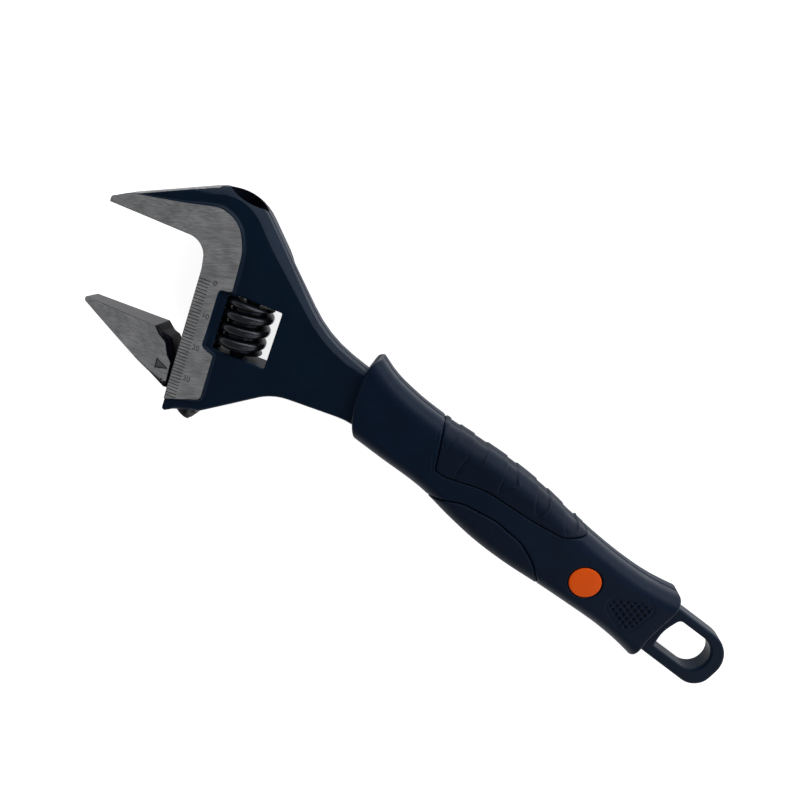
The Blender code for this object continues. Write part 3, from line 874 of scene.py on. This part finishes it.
def makeRail():
    look = railLook
    radius, edge = look["radius"], look["chamfer"]
    rail = lathe("jawRail", [(radius - edge, look["top"]), (radius, look["top"] + edge),
                             (radius, look["end"] - edge), (radius - edge, look["end"])],
                 railDepth, railSteel, sides=80)
    cut(rail, [headBlock("web", (-2, railDepth), (look["webTop"], look["webEnd"]),
                         look["webHalf"])], "UNION")
    lead = look["pitch"] / (2 * pi * look["meshRadius"])
    shape = bmesh.new()
    mouth = railDepth + radius + 1
    floor, half = look["floor"], look["floorHalf"]
    for tooth in range(look["grooves"]):
        corners = []
        for z in (-radius - 1, radius + 1):
            drop = look["firstGroove"] + look["pitch"] * tooth - lead * z
            corners.append([shape.verts.new(toWorld((*headPoint(depth, drop + across), z)))
                            for depth, across in (
                                (floor + .25, -half), (mouth, -look["mouthHalf"]),
                                (mouth, look["mouthHalf"]), (floor + .25, half),
                                (floor, half - .35), (floor, .35 - half))])
        joinRings(shape, corners, capped=True)
    cut(rail, [fromShape("grooves", shape), slab("nose", headCorners(look["nose"]), 5.0)])
    step = rail.modifiers.new("edges", "BEVEL")
    step.width = look["softened"] / 1000
    step.segments = 2
    step.angle_limit = radians(38)
    step.limit_method = "ANGLE"
    cut(rail, [])

    # lighter tooth tips: polish from the worm, and a painted glint
    def wear(x, y, z):
        depth, drop = headCoords(x, y)
        return smoothStep(2.9, 3.5, depth - railDepth) * (drop < 48)

    paint(rail, "worn", wear)
    dress(rail, "lower_jaw", sharpAngle=40)


makeMovableJaw()
makeRail()
print("movable jaw made")


# Worm, its pin and its spring

wormLook = {
    "middle": 19.8, "length": 15.0, "crest": 7.3, "root": 5.25, "pitch": 4.0, "ridge": 3.05,
    "endRound": 1.5, "bore": 2.3, "pocket": 3.9, "pocketDepth": 2.6, "sides": 144, "rows": 300,
}


def makeWorm():
    look = wormLook
    half = look["length"] / 2
    axial = np.linspace(-half, half, look["rows"] + 1)
    angle = 2 * pi * np.arange(look["sides"]) / look["sides"]
    up, turn = np.meshgrid(axial, angle, indexing="ij")
    phase = (up / look["pitch"] + turn / (2 * pi) + 0.5) % 1 - 0.5
    across = np.abs(phase) * look["pitch"] * 2 / look["ridge"]
    bead = np.clip(1 - across ** 2.5, 0, 1) ** 0.48
    radius = look["root"] + (look["crest"] - look["root"]) * bead
    rounding = look["endRound"]
    dip = np.clip(1 - (half - np.abs(up)) / rounding, 0, 1)
    limit = look["crest"] - rounding * (1 - np.sqrt(np.clip(1 - dip ** 2, 0, 1)))
    radius = np.minimum(radius, limit)
    shape = bmesh.new()

    def ring(radii, drop):
        return [shape.verts.new(turnedPoint(wormDepth, drop, out, way))
                for out, way in zip(np.broadcast_to(radii, angle.shape), angle)]

    rings = [ring(radii, look["middle"] - place) for radii, place in zip(radius, axial)]
    topEnd, lowEnd = look["middle"] - half, look["middle"] + half
    bore, pocket, pocketEnd = look["bore"], look["pocket"], lowEnd - look["pocketDepth"]
    rings += [ring(*pair) for pair in (
        (2.9, topEnd), (bore + 0.2, topEnd), (bore, topEnd + 0.2), (bore, pocketEnd),
        (pocket, pocketEnd), (pocket, lowEnd - 0.2), (pocket + 0.2, lowEnd))]
    joinRings(shape, [*rings, rings[0]])
    worm = fromShape("wormKnurl", shape, wormSteel)

    def wear(x, y, z):
        depth, _ = headCoords(x, y)
        return smoothStep(6.4, 7.3, np.hypot(depth - wormDepth, z))

    paint(worm, "worn", wear)
    dress(worm, "knurl", ["worm"], sharpAngle=50, weighted=False)


pinProfile = [(1.7, 6.0), (2.0, 6.3), (2.0, 39.9), (2.35, 40.2), (2.8, 40.2), (3.0, 40.4),
              (3.0, 42.2), (2.75, 42.5), (2.2, 42.6)]      # radius and drop
driverSlot = ((41.6, 44), 0.4)                             # drops and half width


def makePin():
    pin = lathe("wormPin", pinProfile, wormDepth, pinSteel)
    cut(pin, [headBlock("driver slot", (wormDepth - 4, wormDepth + 4), *driverSlot)])
    dress(pin, "wrench_body", ["worm_pin"])


springLook = {"wire": 0.35, "radius": 3.1, "top": 25.0, "end": 28.3, "turns": 3, "sides": 10}


def makeSpring():
    look = springLook
    steps = look["turns"] * 40
    shape = bmesh.new()
    rings = []
    for step in range(steps + 1):
        angle = 2 * pi * look["turns"] * step / steps
        drop = look["top"] + (look["end"] - look["top"]) * step / steps
        ring = []
        for k in range(look["sides"]):
            way = 2 * pi * k / look["sides"]
            ring.append(shape.verts.new(turnedPoint(
                wormDepth, drop + look["wire"] * sin(way),
                look["radius"] + look["wire"] * cos(way), angle)))
        rings.append(ring)
    joinRings(shape, rings, capped=True)
    spring = fromShape("wormSpring", shape, springSteel)
    dress(spring, "wrench_body", ["worm_spring"], weighted=False)


makeWorm()
makePin()
makeSpring()
print("worm drive made")


# Grip

gripLook = {
    "half": 7.8, "corner": 5.0, "rows": 500, "around": 264, "endRound": 0.8,
    "padProud": 0.12, "padDrop": 0.55, "padBed": 1.3, "padDeep": 1.7, "padGroove": 0.3,
    "valley": 0.34, "ridge": 0.32, "crease": 0.28, "sleeveCrease": 0.2,
    "seam": (0.30, 0.28),           # depth and half width of the mould's parting line
    "frontNeck": (5.6, -9.2, 4.5), "rearNeck": (5.8, -11.5, 2.8),   # top, bottom, half thickness
}
spineLine = [
    (-142, 14.2), (-137, 12.5), (-130, 10.1), (-121, 8.8), (-110, 8.6), (-98, 9.4), (-86, 10.0),
    (-74, 9.7), (-62, 8.4), (-50, 7.4), (-40, 7.1), (-30, 7.6), (-20, 9.5), (-13, 11.5)]
bellyLine = [
    (-142, -12.4), (-120, -12.5), (-102, -12.6), (-91, -14.3), (-81, -15.4), (-69, -15.5),
    (-57, -14.7), (-45, -14.1), (-34, -13.8), (-26, -14.3), (-18, -15.5), (-13, -16.5)]
spinePad = [
    (-111, 17, 0), (-110.1, 8.5, 1.5), (-103.8, -4.2, 1.5), (-100.6, -4.0, 3),
    (-88.7, 0.3, 20), (-72.3, 1.4, 20), (-61.5, 2.9, 8), (-55.5, 7.8, 4), (-54, 17, 0)]
bellyPad = [
    (-101, -19, 0), (-100.3, -12.3, 0.5), (-91, -7.2, 10), (-80.5, -5.4, 10), (-70, -6.1, 10),
    (-63.5, -8.8, 12), (-57.4, -13.6, 0.5), (-56, -19, 0)]
valleys = [
    [(-108.4, 15), (-107.9, 8), (-107.4, 4.6), (-106.4, 2.9), (-105.1, 4.0), (-104.6, 8),
     (-104.6, 15)],
    [(-99.8, 15), (-99.3, 8), (-98.9, 3), (-98.6, -1.2), (-96.3, 2.6), (-94.4, 6.0), (-94.9, 9.5),
     (-95.2, 15)],
    [(-88.2, 15), (-87.0, 8), (-86.2, 4.5), (-85.2, 1.8), (-83.4, 4.6), (-82.2, 7.3), (-83.8, 9.4),
     (-84.6, 15)],
    [(-76.8, 15), (-75.6, 8), (-73.5, 4.6), (-71.8, 3.0), (-71.1, 5.5), (-70.8, 7.5), (-71.4, 9.5),
     (-72.0, 15)],
    [(-66.2, 15), (-64.5, 8), (-62.5, 5), (-61.2, 3.8), (-60.0, 5.6), (-59.4, 7.2), (-60.0, 9),
     (-60.5, 15)]]
frontEnd = [
    (-20, -125.0), (-14.5, -127.2), (-10, -130.4), (-2.6, -134.4), (4, -136.3), (9, -137.2),
    (10.6, -137.0), (11.8, -136.3), (12.8, -135.2), (20, -130.0)]
rearEnd = [
    (-20, -18.4), (-14, -19.0), (-6, -20.1), (2, -20.0), (8, -19.9), (13, -20.3), (20, -21.0)]
creases = [
    [(-110.9, 15), (-110.6, 7.5), (-110.2, 5.4), (-109.5, 3.8)],
    [(-107.3, -0.4), (-106.4, -2.0), (-105.2, -3.7), (-104.0, -4.9)]]
badge = {"x": -47.2, "y": -4.0, "radius": 4.85, "gap": 0.18, "proud": 0.12, "pocket": 1.0}
patch = {"pitch": (2.1, 2.8), "lean": -37, "deep": 0.42, "rim": 0.12}
patchOutline = [(-41.3, -4.7, 3.0), (-24.8, 5.7, 2.6), (-26.6, -10.8, 3.2)]


def curveThrough(points):
    # a smooth curve through points as a table for np.interp
    points = np.array(points, float)
    slopes = np.gradient(points[:, 1], points[:, 0])
    places, heights = [], []
    for k in range(len(points) - 1):
        (x0, y0), (x1, y1) = points[k], points[k + 1]
        t = np.linspace(0, 1, 24, endpoint=False)
        span = x1 - x0
        places.append(x0 + t * span)
        heights.append(y0 * (2 * t**3 - 3 * t**2 + 1) + slopes[k] * span * (t**3 - 2 * t**2 + t)
                       + y1 * (3 * t**2 - 2 * t**3) + slopes[k + 1] * span * (t**3 - t**2))
    places.append(points[-1:, 0])
    heights.append(points[-1:, 1])
    return np.concatenate(places), np.concatenate(heights)


spineTable, bellyTable = curveThrough(spineLine), curveThrough(bellyLine)
frontTable, rearTable = curveThrough(frontEnd), curveThrough(rearEnd)


def section(top, bottom, half, corner, part):
    # Point and outward normal on a rounded section. part goes from -1 to 1 round it, with 0 in
    # the middle of the spine side and positive on the front.
    flat = half - corner
    arc = pi / 2 * corner
    side = top - bottom - 2 * corner
    way = np.abs(part) * (2 * flat + 2 * arc + side)
    first = np.clip((way - flat) / arc, 0, 1) * pi / 2
    second = np.clip((way - flat - arc - side) / arc, 0, 1) * pi / 2
    down = np.clip(way - flat - arc, 0, side)
    across = np.minimum(way, flat) + corner * np.sin(first)
    y = top - corner * (1 - np.cos(first)) - down - corner * np.sin(second)
    back = corner * (1 - np.cos(second)) + np.maximum(way - flat - 2 * arc - side, 0)
    z = across - back
    lean = first + second
    sign = np.where(part < 0, -1.0, 1.0)
    return y, z * sign, np.cos(lean), np.sin(lean) * sign


def gripSurface(x, part):
    top = np.interp(x, *spineTable)
    bottom = np.interp(x, *bellyTable)
    return section(top, bottom, gripLook["half"], gripLook["corner"], part)


def padDistance(x, y, outline):
    return outlineDistance(x, y, roundedOutline(outline, spacing=50))


def gripGrid():
    # places on the skin from the front end to the rear end, which follow the ends' own curves
    look = gripLook
    part = -1 + 2 * np.arange(look["around"]) / look["around"]
    t = np.linspace(0, 1, look["rows"] + 1)
    t, part = np.meshgrid(t, part, indexing="ij")
    x = np.full(t.shape, -80.0)
    for _ in range(5):
        y = gripSurface(x, part)[0]
        front = np.interp(y, *frontTable) + look["endRound"]
        rear = np.interp(y, *rearTable) - look["endRound"]
        x = front + (rear - front) * t
    return x, part


def gripRelief(x, y, z):
    # what the mould adds to the plain form: scale valleys on the spine pad, and the ridge by each
    relief = np.zeros(x.shape)
    for outline in valleys:
        outline = np.array(outline)
        distance = outlineDistance(x, y, outline)
        relief -= (gripLook["valley"] * smoothStep(0.25, -0.35, distance)
                   * (0.45 + 0.55 * smoothStep(2.0, 8.5, y)))
        middle = outline[:, 0].mean()
        rightSide = smoothStep(-0.5, 0.8, x - np.interp(y, [-2, 3, 14], [
            middle - 0.3, middle - 0.2, middle + 0.6]))
        relief += (gripLook["ridge"] * np.exp(-((distance - 0.3) / 0.26) ** 2) * rightSide
                   * smoothStep(9.2, 7.5, y))
        relief -= gripLook["crease"] * np.exp(-(distance / 0.2) ** 2) * (1 - rightSide)
    return relief


def closedMesh(name, rings, finish):
    # rings of points joined in order, the last to the first, as one closed skin
    rows, around = rings.shape[:2]
    index = np.arange(rows * around).reshape(rows, around)
    ahead = np.roll(index, -1, axis=0)
    quads = np.stack((index, np.roll(index, -1, 1), np.roll(ahead, -1, 1), ahead), -1)
    mesh = bpy.data.meshes.new(name)
    mesh.from_pydata(toWorld(rings.reshape(-1, 3)).tolist(), [], quads.reshape(-1, 4).tolist())
    return newObject(name, mesh, finish)


def fixNormals(thing):
    shape = bmesh.new()
    shape.from_mesh(thing.data)
    bmesh.ops.recalc_face_normals(shape, faces=shape.faces[:])
    shape.to_mesh(thing.data)
    shape.free()


def frontHollows(x, y):
    # depth of the badge's pocket and of the lattice of pits behind it
    wall = badge["radius"] + badge["gap"]
    pocket = smoothStep(wall + 0.28, wall, np.hypot(x - badge["x"], y - badge["y"]))
    edge = padDistance(x, y, patchOutline)
    lean = radians(patch["lean"])
    first = np.cos(2 * pi * (x * cos(lean) - y * sin(lean)) / patch["pitch"][0])
    second = np.cos(2 * pi * (x * sin(lean) + y * cos(lean)) / patch["pitch"][1])
    pits = patch["deep"] * smoothStep(0.08, 0.5, first * second) * smoothStep(-0.5, -0.8, edge)
    return badge["pocket"] * pocket + np.maximum(
        pits, patch["rim"] * np.exp(-(edge / 0.25) ** 2))


def makeGrip():
    look = gripLook
    x, part = gripGrid()
    y, z, ny, nz = gripSurface(x, part)
    spineGap = padDistance(x, y, spinePad)
    bellyGap = padDistance(x, y, bellyPad)
    padGap = np.minimum(spineGap, bellyGap)
    relief = gripRelief(x, y, z)
    seam = look["seam"][0] * np.exp(-(z / look["seam"][1]) ** 2)
    skin = -look["padBed"] * smoothStep(0.12, -0.16, padGap)
    skin -= look["padGroove"] * smoothStep(0.5, 0.05, padGap)
    skin -= np.where(z > 0, frontHollows(x, y), 0)
    skin -= 2 * seam * (padGap > 0)
    for crease in creases:
        skin -= look["sleeveCrease"] * np.exp(-(lineDistance(x, y, crease) / 0.16) ** 2)

    def rings(offset):
        high = np.clip(z + nz * offset, -look["half"], look["half"] + 0.12)
        return np.stack((x, y + ny * offset, high), -1)

    def endRings(row, table, outward, neck):
        # rounds the skin over at one end and leads it to the neck's outline inside
        made = []
        end = np.interp(y[row], *table)
        for step in range(1, 7):
            angle = pi / 2 * step / 6
            inset = look["endRound"] * (1 - cos(angle))
            place = end - outward * look["endRound"] * (1 - sin(angle))
            made.append(np.stack((place, y[row] - ny[row] * inset, z[row] - nz[row] * inset), -1))
        neckY, neckZ = section(*neck, 1.0, part[row])[:2]
        last = made[-1]
        for share in (0.5, 1.0):
            made.append(np.stack((end, last[:, 1] * (1 - share) + neckY * share,
                                  last[:, 2] * (1 - share) + neckZ * share), -1))
        made.append(np.stack((end - outward * 3, neckY, neckZ), -1))
        return made

    front = endRings(0, frontTable, -1, look["frontNeck"])
    rear = endRings(-1, rearTable, 1, look["rearNeck"])
    sleeve = closedMesh("gripSleeve", np.concatenate(
        (np.array(front[::-1]), rings(skin), np.array(rear))), gripHard)
    fixNormals(sleeve)
    dress(sleeve, "wrench_body", ["grip_sleeve"], sharpAngle=60, weighted=False)

    for name, node, gap, shaped in (("gripSpinePad", "grip_spine_pad", spineGap, relief),
                                    ("gripBellyPad", "grip_belly_pad", bellyGap, 0 * relief)):
        offset = look["padProud"] - look["padDrop"] * smoothStep(-0.55, 0.0, gap) ** 1.5
        offset = offset + shaped * smoothStep(0, -0.5, gap) - 0.5 * seam
        inside = (gap < 0) & (np.roll(gap, -1, 1) < 0)
        keep = inside[:-1] & inside[1:]
        padMesh(name, node, rings(offset), rings(-look["padDeep"] + 0 * x), keep)


def padMesh(name, node, outer, inner, keep):
    # the kept cells of the grid as a closed pad, with an inner skin and a rim
    rows, around = outer.shape[:2]
    index = np.arange(rows * around).reshape(rows, around)
    beside = np.roll(index, -1, 1)
    faces = np.stack((index[:-1], beside[:-1], beside[1:], index[1:]), -1)[keep]
    edges = np.concatenate([faces[:, [k, (k + 1) % 4]] for k in range(4)])
    seen = set(map(tuple, edges.tolist()))
    rimEdges = np.array([edge for edge in edges.tolist() if (edge[1], edge[0]) not in seen])
    total = rows * around
    under = faces[:, ::-1] + total
    rimFaces = np.column_stack((rimEdges[:, 1], rimEdges[:, 0], rimEdges[:, 0] + total,
                                rimEdges[:, 1] + total))
    every = np.concatenate((faces, under, rimFaces))
    used, packed = np.unique(every, return_inverse=True)
    points = toWorld(np.concatenate((outer.reshape(-1, 3), inner.reshape(-1, 3))))[used]
    mesh = bpy.data.meshes.new(name)
    mesh.from_pydata(points.tolist(), [], packed.reshape(every.shape).tolist())
    pad = newObject(name, mesh, gripSoft)
    fixNormals(pad)
    dress(pad, "wrench_body", [node], sharpAngle=60, weighted=False)


def makeBadge():
    # a shallow domed disc in its pocket
    top = gripLook["half"] + badge["proud"]
    radius = badge["radius"]
    profile = [(radius - 0.1, gripLook["half"] - 0.95), (radius, gripLook["half"] - 0.85),
               (radius, top - 0.45)]
    for step in range(1, 5):
        angle = pi / 2 * step / 4
        profile.append((radius - 0.3 * (1 - cos(angle)), top - 0.45 + 0.3 * sin(angle)))
    for share in (0.85, 0.6, 0.3, 0.1):
        profile.append((radius * share, top - 0.15 + 0.15 * (1 - share ** 2)))
    shape = bmesh.new()
    angles = [2 * pi * k / 96 for k in range(96)]
    joinRings(shape, [[shape.verts.new(toWorld((badge["x"] + out * cos(way),
                                                badge["y"] + out * sin(way), height)))
                       for way in angles] for out, height in profile], capped=True)
    disc = fromShape("gripBadge", shape, badgeOrange)
    dress(disc, "wrench_body", ["grip_badge"], sharpAngle=50)


makeGrip()
makeBadge()
print("grip made")


# Floor, light and camera

stageLook = {
    "floor": (0.93, 0.93, 0.93),
    "floorGlow": 0.80,
    "horizon": 0.92,
    "zenith": 0.23,
    "lights": {                                 # place and size in m, power
        "back light": ((0.05, 0.82, 0.32), (1.5, 0.4), 6.0),
        "side light": ((0.7, -0.1, 0.5), (0.6, 0.9), 1.2)},
    "place": (-141.31, 60.33, 199.5),           # camera, mm in the handle's frame
    "aim": (-124.62, 5.95, 5.5),
    "up": (-0.602, 0.754, -0.263),
    "lens": 31.5,
}


def makeFloor():
    shape = bmesh.new()
    bmesh.ops.create_grid(shape, x_segments=8, y_segments=8, size=6)
    floor = fromShape("floor", shape)
    finish = Finish("pale floor", {"Base Color": stageLook["floor"], "Roughness": 0.9,
                                   "Emission Color": (1, 1, 1),
                                   "Emission Strength": stageLook["floorGlow"]})
    floor.data.materials.append(finish.material)


def areaLight(name, place, size, power):
    # a light that looks at the middle of the wrench
    light = bpy.data.lights.new(name, "AREA")
    light.shape = "RECTANGLE"
    light.size, light.size_y = size
    light.energy = power
    thing = newObject(name, light)
    thing.location = place
    thing.rotation_mode = "QUATERNION"
    thing.rotation_quaternion = (-Vector(place)).to_track_quat("-Z", "Y")


def makeLight():
    world = bpy.data.worlds.new("studio")
    bpy.context.scene.world = world
    world.use_nodes = True
    maker = Maker(world.node_tree)
    upward = maker.node("ShaderNodeSeparateXYZ", {}, {
        "Vector": maker.node("ShaderNodeTexCoord", output="Generated")}, output="Z")
    zenith, horizon = stageLook["zenith"], stageLook["horizon"]
    glow = horizon - maker.ramp(upward, 0.06, 0.40) * (horizon - zenith)
    background = world.node_tree.nodes["Background"]
    maker.feed(background.inputs["Strength"], glow)
    maker.feed(background.inputs["Color"], (1, 1, 1))
    for name, (place, size, power) in stageLook["lights"].items():
        areaLight(name, place, size, power)


def makeCamera():
    camera = newObject("camera", bpy.data.cameras.new("camera"))
    camera.data.lens = stageLook["lens"]
    camera.data.sensor_width = 36
    camera.data.clip_start = 0.01
    place = Vector(toWorld(stageLook["place"]))
    forward = (Vector(toWorld(stageLook["aim"])) - place).normalized()
    right = forward.cross(Vector(stageLook["up"])).normalized()
    upward = right.cross(forward)
    turn = Matrix((right, upward, -forward)).transposed().to_4x4()
    camera.matrix_world = Matrix.Translation(place) @ turn
    bpy.context.scene.camera = camera


makeFloor()
makeLight()
makeCamera()
bpy.context.scene.view_settings.view_transform = "Standard"
print("stage made")
